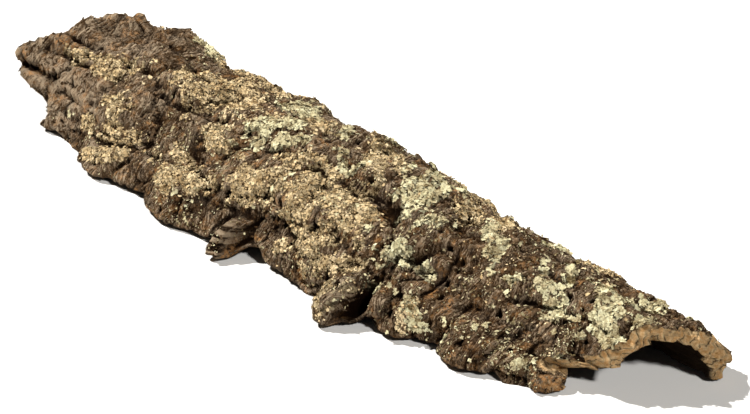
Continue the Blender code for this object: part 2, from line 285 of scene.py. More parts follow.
def noise(points, size, seed):
    # smooth noise from about -1 to 1: values at the corners of a grid of that size, eased between them
    place = points / size
    corner = np.floor(place).astype(int)
    f = place - corner
    f = f * f * f * (f * (f * 6 - 15) + 10)
    total = 0
    for dx in (0, 1):
        for dy in (0, 1):
            for dz in (0, 1):
                weight = (np.where(dx, f[..., 0], 1 - f[..., 0])
                          * np.where(dy, f[..., 1], 1 - f[..., 1])
                          * np.where(dz, f[..., 2], 1 - f[..., 2]))
                value = hashed(corner[..., 0] + dx, corner[..., 1] + dy, corner[..., 2] + dz, seed)
                total = total + weight * (2 * value - 1)
    return total


def mound(x, v, form, sharpness=1.0):
    # bell of height 1 at a named place; a sharpness over 1 flattens its top
    distance = ((x - form[0]) / form[2]) ** 2 + ((v - form[1]) * slab["halfGirth"] / form[3]) ** 2
    return np.exp(-distance ** sharpness)


def mounds(x, v, forms, sharpness=1.0):
    # each form's own height times its bell, added up
    return sum(form[4] * mound(x, v, form, sharpness) for form in forms)


def cells(x, girth, length, width, jitter, seed):
    # nearest and second nearest distance to a jittered grid of points, and the nearest one's own number
    column, row = np.floor(x / length).astype(int), np.floor(girth / width).astype(int)
    nearest, second, own = np.full(x.shape, 9.0), np.full(x.shape, 9.0), np.zeros(x.shape)
    margin = (1 - jitter) / 2
    for dc in (-1, 0, 1):
        for dr in (-1, 0, 1):
            c, r = column + dc, row + dr
            seedX = c + margin + jitter * hashed(c, r, 0, seed) - x / length
            seedG = r + margin + jitter * hashed(c, r, 1, seed) - girth / width
            distance = np.hypot(seedX, seedG)
            closer = distance < nearest
            second = np.where(closer, nearest, np.minimum(second, distance))
            own = np.where(closer, hashed(c, r, 2, seed), own)
            nearest = np.where(closer, distance, nearest)
    return nearest, second, own


def outerRelief(place, v):
    # the solid's own relief: mounds, plates with creases between them, and folded noise for lumps
    x = place[..., 0]
    relief = mounds(x, v, swellings) - mounds(x, v, hollows)
    relief = relief + mounds(x, v, [brokenScale], 2.0) + mounds(x, v, [knob], 1.6)
    wanderX = slab["plateWander"] * noise(place, slab["boulderSize"], 1)
    wanderG = slab["plateWander"] * noise(place, slab["boulderSize"], 2)
    nearest, second, own = cells(x + wanderX, v * slab["halfGirth"] + wanderG,
                                 slab["plateLength"], slab["plateWidth"], slab["plateJitter"], 3)
    gap = (second - nearest) / slab["creaseWidth"]
    wide = noise(place, slab["plateLength"], 3)
    fissured = np.clip(slab["fissureMean"] + slab["fissureSwing"] * wide, 0, 1)
    relief = relief + slab["plateStep"] * (2 * own - 1) * np.clip(gap, 0, 1)
    relief = relief - slab["creaseDepth"] * np.exp(-gap ** 2) * fissured
    dragged = slab["lumpWander"] * np.stack([wanderX, wanderG, wanderX], axis=-1)
    stretched = place * slab["lumpStretch"] + dragged
    relief = relief + slab["boulderHeight"] * np.abs(noise(stretched, slab["boulderSize"], 4))
    relief = relief + slab["cobbleHeight"] * np.abs(noise(stretched, slab["cobbleSize"], 8))
    return relief + slab["fineHeight"] * noise(place, slab["fineSize"], 5) - slab["meanRelief"]


# Finer relief of the furrowed face, which the solid leaves out

furrows = {
    "driftSize": 0.030,         # slow wandering that bends all of it
    "craggyHeight": 0.0022,     # rounded crumbs with sharp clefts between them, height and size
    "craggySize": 0.0130,
    "crumbHeight": 0.0021,
    "crumbSize": 0.0062,
    "crumbPower": 0.8,
    "crumbMean": 0.4,
    "calm": 0.5,                # share of the crumbs' height that bare bark has
    "ledgeHeight": 0.0032,      # overlapping layers that end in a step
    "ledgeSize": 0.042,
    "ledgeCount": 4.5,
    "ledgeRise": 0.16,
    "ledgeEdge": 0.13,
    "ledgePatch": 0.060,
    "ledgeMean": 0.55,          # their mean strength, and how far it swings from patch to patch
    "ledgeSwing": 0.9,
    "wrinkleHeight": 0.0012,    # fine wrinkles that run round the girth, on bare bark
    "wrinkleSize": 0.0052,
    "wrinkleStretch": 0.14,
    "wrinkleWander": 0.012,
    "wrinkleCrest": 0.7,        # their strength on the crest, and what the flanks add to it
    "wrinkleFlank": 0.5,
    "wrinkleHidden": 0.7,       # share of them that the lichen hides
    "crackSpacing": 0.021,      # open cracks that run round the girth, mostly on the flanks
    "crackWidth": 0.0015,
    "crackDepth": 0.0026,
    "crackWander": 0.012,
    "crackJag": 0.004,
    "crackJagSize": 0.011,
    "crackLength": 0.028,
    "crackSwing": 1.8,          # how far they open and close along their length
    "crackFlank": 0.9,          # how much more open they are on the flanks
    "crackClosed": 0.55,
    "flankStart": 0.25,         # where the flanks begin round the arch, and how soon they are full
    "flankSpread": 0.4,
    "pitSpacing": 0.016,        # small round pits
    "pitJitter": 0.8,
    "pitShare": 0.32,
    "pitReach": 0.16,
    "pitFray": 0.16,
    "pitFraySize": 0.0045,
    "pitDepth": 0.0060,
    "coverHeight": 0.0008,      # thickness of the lichen, and how rough it is against bare bark
    "coverRough": 1.6,
    "edgeFray": 0.0035,         # how far the long edges fray upwards, and over what length
    "edgeSize": 0.0080,
    "grit": 0.0011,
    "gritSize": 0.0036,
    "shift": 0.006,             # how far the drift moves the pits and wrinkles
    # the small hollows are painted dark as shade
    "cleftShare": 0.9,          # how dark the small hollows are, and the height where that begins
    "cleftStart": 0.15,
}


def crumbs(bent, cover):
    # folded noise at two sizes, flattened on top; the small crumbs are rougher under lichen
    power, mean = furrows["crumbPower"], furrows["crumbMean"]
    craggy = np.abs(noise(bent, furrows["craggySize"], 22)) ** power - mean
    crumb = np.abs(noise(bent, furrows["crumbSize"], 37)) ** power - mean
    roughness = 1 + (furrows["coverRough"] - 1) * cover
    height = furrows["craggyHeight"] * craggy + furrows["crumbHeight"] * crumb * roughness
    return height * (furrows["calm"] + (1 - furrows["calm"]) * cover)


def ledges(place, bent):
    # sawtooth of a slow noise: each layer slopes down and ends in a steep eased step
    layers = noise(bent, furrows["ledgeSize"], 23) + 0.35 * noise(bent, 0.4 * furrows["ledgeSize"], 24)
    step = layers * furrows["ledgeCount"]
    share = step - np.floor(step)
    rise = np.clip(share / furrows["ledgeRise"], 0, 1)
    ledge = rise * rise * (3 - 2 * rise) - share
    edge = np.exp(-((share - furrows["ledgeRise"]) / furrows["ledgeEdge"]) ** 2)
    patchy = noise(place, furrows["ledgePatch"], 25)
    strength = np.clip(furrows["ledgeMean"] + furrows["ledgeSwing"] * patchy, 0, 1)
    return ledge, edge, strength


def wrinkled(girth, bent, drift, flank, cover):
    # noise stretched round the girth, fainter on the crest and under lichen
    sheet = np.stack([bent[..., 0], furrows["wrinkleStretch"] * (girth + furrows["shift"] * drift[..., 1]),
                      0.1 * bent[..., 2]], axis=-1)
    strength = furrows["wrinkleCrest"] + furrows["wrinkleFlank"] * flank
    return noise(sheet, furrows["wrinkleSize"], 26) * strength * (1 - furrows["wrinkleHidden"] * cover)


def cracked(place, girth, drift, flank):
    # bell across evenly spaced lines that wander, open only over parts of their length
    spacing = furrows["crackSpacing"]
    jag = furrows["crackJag"] * noise(place, furrows["crackJagSize"], 27)
    phase = (place[..., 0] + furrows["crackWander"] * drift[..., 0] + jag) / spacing
    line = np.floor(phase + 0.5)
    near = np.abs(phase - line) * spacing
    parts = noise(np.stack([0.031 * line, girth, 0 * girth], axis=-1), furrows["crackLength"], 28)
    opened = furrows["crackSwing"] * parts + furrows["crackFlank"] * flank - furrows["crackClosed"]
    return np.exp(-(near / furrows["crackWidth"]) ** 2) * np.clip(opened, 0, 1)


def pitted(place, girth, drift):
    # flat-floored bell at some points of a jittered grid, each with its own reach and a frayed rim
    spacing = furrows["pitSpacing"]
    nearest, _, own = cells(place[..., 0] + furrows["shift"] * drift[..., 1],
                            girth + furrows["shift"] * drift[..., 2], spacing, spacing,
                            furrows["pitJitter"], 29)
    nearest = nearest + furrows["pitFray"] * noise(place, furrows["pitFraySize"], 39)
    reach = furrows["pitReach"] * (0.5 + own / furrows["pitShare"] * 0.6)
    return np.exp(-(nearest / reach) ** 4) * (own < furrows["pitShare"])


def fineRelief(place, v):
    # crumbs, ledges, wrinkles, cracks and pits added up; also where a ledge, and where a gap, shows
    x, girth = place[..., 0], v * slab["halfGirth"]
    drift = np.stack([noise(place, furrows["driftSize"], seed) for seed in (31, 32, 33)], axis=-1)
    bent = place + furrows["wrinkleWander"] * drift
    cover = np.maximum(patchShare(x, v, place, crustPatches, 41),
                       patchShare(x, v, place, leafPatches, 44, leafFray))
    flank = np.clip((np.abs(v) - furrows["flankStart"]) / furrows["flankSpread"], 0, 1)
    ledge, edge, ledgeStrength = ledges(place, bent)
    crack, pit = cracked(place, girth, drift, flank), pitted(place, girth, drift)

    relief = crumbs(bent, cover) + mounds(x, v, fineSwellings, 1.5) - mounds(x, v, fineHollows, 1.5)
    relief = relief + furrows["ledgeHeight"] * ledge * ledgeStrength + furrows["coverHeight"] * (cover - 0.5)
    relief = relief + furrows["wrinkleHeight"] * wrinkled(girth, bent, drift, flank, cover)
    relief = relief - furrows["crackDepth"] * crack
    relief = relief - furrows["pitDepth"] * pit + furrows["grit"] * noise(place, furrows["gritSize"], 30)
    cleft = furrows["cleftShare"] * sum(mound(x, v, form, 1.5) for form in fineHollows)
    cleft = np.clip(cleft - furrows["cleftStart"], 0, 1)
    return relief, edge * ledgeStrength, np.maximum(np.maximum(crack, pit), cleft)


tear = {
    "height": 0.0100,           # chunky tearing of the broken ends, and finer crumbling on it
    "size": 0.0140,
    "fineHeight": 0.0026,
    "fineSize": 0.0045,
    "innerHeight": 0.0034,      # jagged inner edge of the broken ends
    "innerSize": 0.0075,
    "steps": 2.4,               # layers of the wall that broke at different lengths
    "stepWander": 0.9,
    "stepSize": 0.030,
    "stepHeight": 0.0040,
    "lip": 0.012,
    "farDrop": 0.006,           # the far rim rounds down by this over this share of the length
    "farZone": 0.018,
    "breakZone": 0.05,
    "grainHeight": 0.0007,      # lengthwise grain of the inner face
    "grainSize": 0.007,
    "fineFade": 40,             # power by which the finer relief ends at the long edges
}
# Notches broken out of the ends: end (-1 far, 1 near), place round the arch, half width, depth
notches = [
    (1, -0.605, 0.0035, 0.012), (1, -0.80, 0.0045, 0.008), (1, -0.40, 0.0060, 0.004),
    (1, -0.13, 0.0040, 0.004), (1, 0.22, 0.0050, 0.004), (1, 0.62, 0.0060, 0.004),
    (-1, -0.62, 0.0040, 0.012), (-1, -0.42, 0.0040, 0.006), (-1, -0.81, 0.0090, 0.013),
    (-1, -0.20, 0.0040, 0.005), (-1, 0.07, 0.0050, 0.006), (-1, 0.45, 0.0060, 0.006),
]
# Places where a long edge is broken away upwards: place along X, side, half length, height
edgeBreaks = [(-0.009, -1, 0.013, 0.0100), (0.153, -1, 0.009, 0.0080)]


def edgeHeight(x, v):
    # the long edges are lifted off the ground but dip under it at each foot
    reach = slab["footReach"]
    foot = sum(np.exp(-((x - place) / reach) ** 4) * (v * side > 0) for place, side in slab["feet"])
    drop = (slab["edgeLift"] + slab["footDip"]) * np.clip(foot, 0, 1)
    return (slab["edgeLift"] - drop) * np.abs(v) ** slab["edgeLevels"]


def underCeiling(z):
    # keeps a small share of any height over the ceiling
    return z - (1 - slab["overCeiling"]) * np.maximum(z - slab["ceiling"], 0)


def towardsEnd(u, zone):
    # 1 at the two broken ends, falling to 0 over this share of the half length
    return np.clip((np.abs(2 * u - 1) - 1) / zone + 1, 0, 1)


def tornLength(points, t):
    # how far the wall sticks out past its end: chunks, crumbs, and layers that broke at different lengths
    torn = tear["height"] * (np.abs(noise(points, tear["size"], 35)) - 0.5)
    torn = torn + tear["fineHeight"] * noise(points * (1, 1, 1.5), tear["fineSize"], 36)
    steps = tear["steps"] * t + tear["stepWander"] * noise(points, tear["stepSize"], 38)
    return torn + tear["stepHeight"] * (np.abs(steps - np.floor(steps) - 0.5) * 2 - 0.5)


def slabPoints(u, v, t):
    # arch, plus relief and wall thickness along its normal, plus ragged rims; ground at zero height
    place = arch(u, v, t)
    face = arch(u, v, 0 * t)
    normal = archNormal(u, np.clip(v, -slab["edgeLimit"], slab["edgeLimit"]), t)
    normal[..., 2] *= 1 - v ** slab["edgeLevels"]
    wall = roundArch("wall", v)
    fine, edge, gap = fineRelief(face, v)
    atEdge = 1 - np.abs(v) ** tear["fineFade"]
    coarse = outerRelief(face, v)
    farShare = np.clip(1 - u / tear["farZone"], 0, 1) ** 2
    outer = np.maximum(coarse + fine * atEdge, -slab["deepestHollow"] * wall) - tear["farDrop"] * farShare
    inner = slab["innerHeight"] * noise(place, slab["innerSize"], 6) + slab["innerFollows"] * coarse
    inner = inner + tear["grainHeight"] * noise(place * (0.25, 1, 1), tear["grainSize"], 34)
    broken = towardsEnd(u, tear["breakZone"]) ** 2
    inner = inner + tear["innerHeight"] * (np.abs(noise(place, tear["innerSize"], 42)) * 2 - 0.3) * broken
    offset = outer * (1 - t) + inner * t - wall * t
    points = place + normal * offset[..., None]
    swell = slab["rimBulge"] * 4 * t * (1 - t)
    ragged = slab["endHeight"] * noise(points, slab["endSize"], 7)
    notch = sum(depth * (np.sign(u - 0.5) == end)
                * np.exp(-((v - notchV) * slab["halfGirth"] / halfWidth) ** 4)
                for end, notchV, halfWidth, depth in notches)
    sticking = (swell + ragged) * towardsEnd(u, slab["endZone"])
    sticking = sticking + tornLength(points, t) * towardsEnd(u, tear["lip"]) - notch * broken
    points[..., 0] += np.sign(u - 0.5) * sticking
    frayed = furrows["edgeFray"] * np.abs(noise(points * (1, 0.2, 0.2), furrows["edgeSize"], 40))
    points[..., 2] += edgeHeight(points[..., 0], v) - swell * np.abs(v) ** slab["rimRounds"]
    missing = sum(height * np.exp(-((points[..., 0] - breakX) / halfLength) ** 4) * (v * side > 0)
                  for breakX, side, halfLength, height in edgeBreaks)
    points[..., 2] += (frayed + missing) * np.abs(v) ** slab["edgeLevels"]
    points[..., 2] = underCeiling(np.maximum(points[..., 2], 0))
    points[..., :2] -= slab["middle"]
    return points, outer, edge, gap


# Patches of lichen on the outer face: place along X, place round the arch, half length, half width,
# and turn in degrees from the slab's length towards the back edge
crustPatches = [
    (-0.302, -0.29, 0.040, 0.014, 16), (-0.254, -0.49, 0.020, 0.012, 0), (-0.234, -0.69, 0.024, 0.010, 12),
    (-0.286, -0.73, 0.018, 0.008, 9), (-0.228, -0.82, 0.028, 0.007, 17), (-0.182, -0.67, 0.016, 0.008, -17),
    (-0.178, -0.07, 0.034, 0.024, 0), (-0.132, -0.33, 0.026, 0.014, -22), (-0.141, -0.58, 0.016, 0.008, 10),
    (-0.118, -0.70, 0.040, 0.013, 14), (-0.223, 0.02, 0.018, 0.012, 28), (-0.155, 0.15, 0.034, 0.015, -41),
    (-0.040, -0.55, 0.044, 0.018, 12), (0.024, -0.44, 0.036, 0.018, -27), (0.030, -0.58, 0.032, 0.018, 0),
    (0.075, -0.44, 0.034, 0.020, -32), (0.029, -0.81, 0.017, 0.006, 16), (0.064, -0.67, 0.034, 0.019, 4),
    (0.089, -0.74, 0.038, 0.013, 16), (-0.052, 0.20, 0.027, 0.018, -51), (0.047, 0.04, 0.034, 0.020, -34),
    (0.158, 0.07, 0.026, 0.012, -53), (0.195, 0.09, 0.022, 0.009, -51), (-0.099, 0.07, 0.024, 0.016, 40),
    (-0.352, -0.37, 0.018, 0.009, 0), (-0.028, -0.31, 0.022, 0.010, 9), (0.189, -0.86, 0.014, 0.012, -40),
    (0.114, -0.87, 0.012, 0.012, 0), (-0.200, 0.55, 0.050, 0.022, 10), (-0.040, 0.66, 0.044, 0.020, -15),
    (0.110, 0.52, 0.050, 0.020, 12), (0.280, 0.50, 0.040, 0.016, 0), (-0.330, 0.62, 0.030, 0.016, 20),
]
leafPatches = [
    (-0.078, -0.10, 0.030, 0.020, -20), (0.120, -0.06, 0.034, 0.022, -60), (0.015, -0.12, 0.012, 0.006, -32),
    (0.137, -0.50, 0.015, 0.011, -12), (0.176, -0.54, 0.009, 0.006, -28), (0.139, -0.79, 0.009, 0.008, 8),
    (0.152, -0.22, 0.010, 0.006, 25), (0.209, -0.13, 0.018, 0.014, -43), (0.128, 0.06, 0.016, 0.010, -45),
    (0.267, -0.05, 0.012, 0.009, -52), (0.287, -0.23, 0.013, 0.010, -42), (0.306, -0.28, 0.011, 0.009, -23),
    (0.356, -0.16, 0.016, 0.012, -40), (0.368, -0.32, 0.018, 0.011, -50), (0.384, -0.40, 0.008, 0.005, 80),
    (0.388, -0.12, 0.010, 0.008, -50), (0.330, -0.36, 0.008, 0.006, -20), (0.345, -0.48, 0.007, 0.004, 0),
    (0.362, 0.30, 0.016, 0.009, -62), (0.385, 0.66, 0.012, 0.010, -66), (0.272, -0.71, 0.013, 0.008, 13),
    (0.316, -0.79, 0.015, 0.006, 31), (0.303, -0.42, 0.008, 0.005, 13), (0.191, -0.87, 0.013, 0.010, -40),
    (0.255, -0.28, 0.010, 0.005, 17), (0.330, 0.00, 0.016, 0.009, -70), (0.286, 0.06, 0.020, 0.008, -63),
    (-0.010, 0.06, 0.010, 0.006, -39), (0.045, -0.14, 0.010, 0.006, 19), (0.240, 0.50, 0.022, 0.014, 20),
    (-0.120, 0.40, 0.018, 0.012, 0), (0.020, 0.45, 0.020, 0.013, 30), (-0.260, 0.42, 0.016, 0.011, 0),
    (0.344, -0.10, 0.016, 0.008, -60),
]
# Places where fresh orange cork shows, given as place, place round the arch and radius
freshPlaces = [
    (-0.358, 0.16, 0.010), (-0.381, -0.33, 0.011), (-0.366, -0.30, 0.008), (-0.265, -0.75, 0.004),
    (-0.231, -0.72, 0.004), (-0.125, -0.86, 0.006), (-0.152, -0.89, 0.005), (0.042, -0.72, 0.004),
    (-0.214, -0.52, 0.004), (0.191, -0.68, 0.006), (0.232, -0.50, 0.005), (-0.247, -0.50, 0.004),
    (-0.022, -0.99, 0.006), (0.215, -0.68, 0.005), (0.335, -0.92, 0.012), (-0.414, -0.55, 0.007),
    (0.352, -0.66, 0.010), (-0.390, -0.64, 0.007), (-0.034, -1.04, 0.009), (0.300, 0.00, 0.006),
    (0.330, 0.10, 0.006), (-0.165, 0.00, 0.005), (0.118, -0.24, 0.005), (-0.060, 0.80, 0.008),
    (0.160, 0.84, 0.008), (-0.280, 0.86, 0.008), (0.060, -0.90, 0.004), (-0.010, -0.93, 0.004),
    (0.250, -0.93, 0.005),
]
# Dark places, given the same way: mostly painted shade in hollows, pits, on the lower front flank and on the
# boss's shaded side; the low front lobe is also darker bark
darkPlaces = [
    (0.160, -0.40, 0.034), (0.150, -0.62, 0.020), (0.185, -0.86, 0.050), (0.260, -0.84, 0.050),
    (0.320, -0.80, 0.036), (0.180, -0.52, 0.030), (0.128, -0.50, 0.020), (0.240, -0.50, 0.030),
    (-0.172, -0.88, 0.034), (-0.100, -0.84, 0.034), (-0.030, -0.86, 0.030), (0.050, -0.90, 0.036),
    (0.110, -0.30, 0.020), (0.200, -0.16, 0.022), (-0.096, -0.34, 0.020), (-0.060, -0.20, 0.024),
    (-0.250, 0.05, 0.036), (-0.190, -0.40, 0.022), (-0.290, -0.93, 0.030), (-0.200, 0.20, 0.030),
    (0.250, 0.10, 0.024), (-0.135, -0.48, 0.018), (0.010, -0.24, 0.024), (0.070, -0.20, 0.020),
    (-0.310, 0.15, 0.030), (0.138, -0.92, 0.016), (-0.215, -0.60, 0.016), (-0.018, -0.90, 0.010),
]
outlines = {                    # of the patches and the round spots
    "patchReach": 1.15,         # height of the cone over each, which ends at its outline
    "patchSteepness": 2.2,
    "fraySizes": (0.013, 0.0055),
    "fineFray": 0.6,            # share of the fray that the smaller size has
    "spotReach": 1.2,
    "spotFray": 0.5,
}
crustFray, leafFray = 0.6, 0.95    # how far the two kinds of patches fray


def patchShare(x, v, place, patches, seed, fray=crustFray):
    # cone over each ellipse, largest of all, with two sizes of noise that fray the outline
    share = np.full(x.shape, -1.0)
    for patchX, patchV, halfLength, halfWidth, turn in patches:
        a = math.radians(turn)
        dx, dg = x - patchX, (v - patchV) * slab["halfGirth"]
        along = (dx * math.cos(a) + dg * math.sin(a)) / halfLength
        across = (dg * math.cos(a) - dx * math.sin(a)) / halfWidth
        share = np.maximum(share, outlines["patchReach"] - np.hypot(along, across))
    coarse, fine = (noise(place, size, seed + k) for k, size in enumerate(outlines["fraySizes"]))
    ragged = fray * coarse + outlines["fineFray"] * fray * fine
    return np.clip((share + ragged) * outlines["patchSteepness"], 0, 1)


def spotShare(x, v, place, spots, size, sharp):
    # cone over each round spot, largest of all, frayed by noise
    share = np.zeros(x.shape)
    for spotX, spotV, radius in spots:
        distance = np.hypot(x - spotX, (v - spotV) * slab["halfGirth"]) / radius
        share = np.maximum(share, outlines["spotReach"] - distance)
    return np.clip((share + outlines["spotFray"] * noise(place, size, 43)) * sharp, 0, 1)


# Bark mesh

barkMesh = {
    "rows": 520,                # quads along the slab
    "outerColumns": 130,        # quads round the outer face; a whole multiple of the inner ones
    "innerColumns": 26,
    "wallLayers": 8,            # quads through the wall at every rim
    # window in quads and height, for what counts as low in the broad and in the fine relief
    "hollow": (9, 0.0042),
    "crevice": (2, 0.0011),
    "weathered": [(-0.28, 0.10, 0.36), (0.06, 0.08, 0.24)],     # start, length and share of the darkening
    "paleBare": (-0.345, -0.56, 0.050, 0.036),
    "paleShare": 0.36,
    "cutDepth": 0.012,
    "cornerStart": -0.78,       # the near front corner is bark-brown instead of tan
    "cornerShare": 0.8,
}


def sectionLoop():
    # v and t once round the cross-section: outer face, back rim, inner face, front rim
    outerV = np.linspace(-1, 1, barkMesh["outerColumns"] + 1)
    innerV = np.linspace(1, -1, barkMesh["innerColumns"] + 1)
    rimT = np.linspace(0, 1, barkMesh["wallLayers"] + 1)[1:-1]
    loopV = np.concatenate([outerV, 0 * rimT + 1, innerV, 0 * rimT - 1])
    loopT = np.concatenate([0 * outerV, rimT, 0 * innerV + 1, rimT[::-1]])
    return loopV, loopT


def capFaces(row, extra, flip):
    # quads over the wall's layers, then a fan from the last layer to the coarser inner edge
    outerCount, innerCount, layers = (barkMesh[k] for k in ("outerColumns", "innerColumns", "wallLayers"))
    grid = np.empty((layers, outerCount + 1), int)
    grid[0] = row + np.arange(outerCount + 1)
    backRim = row + outerCount + 1 + np.arange(layers - 1)
    innerStart = outerCount + layers
    frontRim = row + innerStart + innerCount + 1 + np.arange(layers - 1)[::-1]
    grid[1:, 0], grid[1:, -1] = frontRim, backRim
    grid[1:, 1:-1] = extra + np.arange((layers - 1) * (outerCount - 1)).reshape(layers - 1, -1)
    inner = row + innerStart + np.arange(innerCount + 1)[::-1]
    quads = np.stack([grid[:-1, :-1], grid[:-1, 1:], grid[1:, 1:], grid[1:, :-1]], axis=-1).reshape(-1, 4)
    ratio = outerCount // innerCount
    last = grid[-1]
    step = np.arange(outerCount)
    fan = np.stack([last[:-1], last[1:], inner[(step + ratio // 2) // ratio]], axis=-1)
    joint = np.arange(innerCount)
    bridge = np.stack([last[joint * ratio + ratio // 2 + ratio % 2], inner[joint + 1], inner[joint]], axis=-1)
    faces = [quads, fan, bridge]
    return [f[:, ::-1] for f in faces] if flip else faces


def blurred(values, reach):
    # mean over a square window, by running sums along both ways
    for axis in (0, 1):
        pad = [(reach + 1, reach) if a == axis else (0, 0) for a in (0, 1)]
        total = np.cumsum(np.pad(values, pad, mode="edge"), axis=axis)
        count = values.shape[axis]
        high = np.take(total, np.arange(count) + 2 * reach + 1, axis=axis)
        low = np.take(total, np.arange(count), axis=axis)
        values = (high - low) / (2 * reach + 1)
    return values


def addAttribute(mesh, name, values):
    mesh.attributes.new(name, "FLOAT", "POINT").data.foreach_set("value", np.ravel(values).astype(np.float32))


def makeMesh(name, points, faceSets):
    mesh = bpy.data.meshes.new(name)
    faces = [face for faceSet in faceSets for face in faceSet.tolist()]
    mesh.from_pydata(points.reshape(-1, 3).tolist(), [], faces)
    mesh.update()
    return mesh


def addPiece(name, mesh, material):
    piece = bpy.data.objects.new(name, mesh)
    mesh.materials.append(material)
    bpy.context.collection.objects.link(piece)
    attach(piece, "root")
    return piece


def makeBark(material):
    rows = barkMesh["rows"]
    loopV, loopT = sectionLoop()
    loop = len(loopV)
    outerCount, layers = barkMesh["outerColumns"], barkMesh["wallLayers"]
    u = np.linspace(0, 1, rows + 1)
    bodyU, bodyV, bodyT = u[:, None] + 0 * loopV, loopV + 0 * u[:, None], loopT + 0 * u[:, None]
    capV = np.linspace(-1, 1, outerCount + 1)[1:-1] + np.zeros((layers - 1, 1))
    capT = np.linspace(0, 1, layers + 1)[1:-1, None] + 0 * capV
    allU = np.concatenate([bodyU.ravel(), 0 * capV.ravel(), 0 * capV.ravel() + 1])
    allV = np.concatenate([bodyV.ravel(), capV.ravel(), capV.ravel()])
    allT = np.concatenate([bodyT.ravel(), capT.ravel(), capT.ravel()])
    points, relief, edge, gap = slabPoints(allU, allV, allT)

    body = np.arange((rows + 1) * loop).reshape(rows + 1, loop)
    following = np.roll(body, -1, axis=1)
    sides = np.stack([body[:-1], body[1:], following[1:], following[:-1]], axis=-1).reshape(-1, 4)
    extra = (rows + 1) * loop
    faceSets = [sides] + capFaces(0, extra, False) + capFaces(rows * loop, extra + capV.size, True)
    mesh = makeMesh("bark", points, faceSets)
    mesh.shade_smooth()

    outer = relief[:extra].reshape(rows + 1, loop)[:, :outerCount + 1]
    field = {}
    for name in ("hollow", "crevice"):
        window, span = barkMesh[name]
        level = np.zeros((rows + 1, loop))
        level[:, :outerCount + 1] = (outer - blurred(outer, window)) / span
        field[name] = np.zeros(allU.shape)
        field[name][:extra] = level.ravel()
        addAttribute(mesh, name, field[name])
    face = arch(allU, allV, 0 * allT)
    x, atEnd = face[:, 0], towardsEnd(allU, barkMesh["cutDepth"])
    onFace = allT < 0.05
    corner = 1 - barkMesh["cornerShare"] * np.clip((barkMesh["cornerStart"] - allV) / 0.08, 0, 1)
    weathered = sum(share * np.clip((x - start) / length, 0, 1)
                    for start, length, share in barkMesh["weathered"])
    pale = barkMesh["paleShare"] * mound(x, allV, barkMesh["paleBare"])
    # the dark places are mostly painted shade; the weathered share darkens the bark towards the near end
    shade = np.maximum(spotShare(x, allV, face, darkPlaces, 0.014, 1.0), weathered) - pale
    addAttribute(mesh, "inside", np.clip(allT * 4 - 0.4, 0, 1) * (1 - atEnd))
    addAttribute(mesh, "gap", gap * onFace)
    addAttribute(mesh, "scale", mound(x, allV, brokenScale, 2.0))
    addAttribute(mesh, "nearCut", atEnd * (allU > 0.5) * np.clip(allT * 7, 0, 1) * corner)
    addAttribute(mesh, "layer", allT)
    addAttribute(mesh, "ledge", edge * onFace)
    addAttribute(mesh, "fresh", spotShare(x, allV, face, freshPlaces, 0.007, 1.6) * (allT < 0.95))
    addAttribute(mesh, "shade", shade * (allT < 0.95))
    addAttribute(mesh, "crust", patchShare(x, allV, face, crustPatches, 41) * (allT < 0.3))
    addAttribute(mesh, "leaf", patchShare(x, allV, face, leafPatches, 44, leafFray) * (allT < 0.3))

    corners = np.empty(len(mesh.loops), int)
    mesh.loops.foreach_get("vertex_index", corners)
    sheet = np.stack([points[:, 0], allV * slab["halfGirth"] + 0.02 * allT], axis=-1)[corners]
    mesh.uv_layers.new(name="sheet").data.foreach_set("uv", sheet.ravel())
    bark = addPiece("furrowed_bark", mesh, material)
    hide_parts("bark")
    outerPoints = points[:extra].reshape(rows + 1, loop, 3)[:, :outerCount + 1]
    return bark, outerPoints, field["hollow"][:extra].reshape(rows + 1, loop)[:, :outerCount + 1]


# Shader helpers

def addNode(tree, kind, inputs=None, **settings):
    item = tree.nodes.new(kind)
    for key, value in settings.items():
        setattr(item, key, value)
    for key, value in (inputs or {}).items():
        if isinstance(value, bpy.types.NodeSocket):
            tree.links.new(value, item.inputs[key])
        else:
            item.inputs[key].default_value = value
    return item


def calculate(tree, operation, a, b=0.0, clamp=False):
    return addNode(tree, "ShaderNodeMath", {0: a, 1: b}, operation=operation, use_clamp=clamp).outputs[0]


def plus(tree, *values):
    total = values[0]
    for value in values[1:]:
        total = calculate(tree, "ADD", total, value)
    return total


def minus(tree, a, b):
    return calculate(tree, "SUBTRACT", a, b)


def times(tree, a, b):
    return calculate(tree, "MULTIPLY", a, b)


def mixColour(tree, share, a, b):
    return addNode(tree, "ShaderNodeMix", {0: share, 6: a, 7: b}, data_type="RGBA").outputs[2]


def mixValue(tree, share, a, b):
    return addNode(tree, "ShaderNodeMix", {0: share, 2: a, 3: b}).outputs[0]


def between(tree, value, low, high):
    # 0 at low, 1 at high, held outside them
    return addNode(tree, "ShaderNodeMapRange", {0: value, 1: low, 2: high}).outputs[0]


def ramp(tree, value, stops):
    item = addNode(tree, "ShaderNodeValToRGB", {0: value})
    elements = item.color_ramp.elements
    while len(elements) < len(stops):
        elements.new(0.5)
    for element, (place, colour) in zip(elements, stops):
        element.position = place
        element.color = (*colour, 1)
    return item.outputs[0]


def attribute(tree, name):
    return addNode(tree, "ShaderNodeAttribute", attribute_name=name).outputs["Fac"]


def noiseOf(tree, vector, scale, detail, rough=0.5, distortion=0.0, output=0):
    return addNode(tree, "ShaderNodeTexNoise", {"Vector": vector, "Scale": scale, "Detail": detail,
                                                "Roughness": rough, "Distortion": distortion}).outputs[output]


def noiseMask(tree, vector, scale, detail=4.0, rough=0.6, low=0.35, high=0.65):
    return between(tree, noiseOf(tree, vector, scale, detail, rough), low, high)


def spotsOf(tree, vector, scale):
    # distance to the nearest of scattered points
    return addNode(tree, "ShaderNodeTexVoronoi", {"Vector": vector, "Scale": scale}).outputs["Distance"]


def scaledVector(tree, vector, scale):
    return addNode(tree, "ShaderNodeMapping", {"Vector": vector, "Scale": scale}).outputs[0]


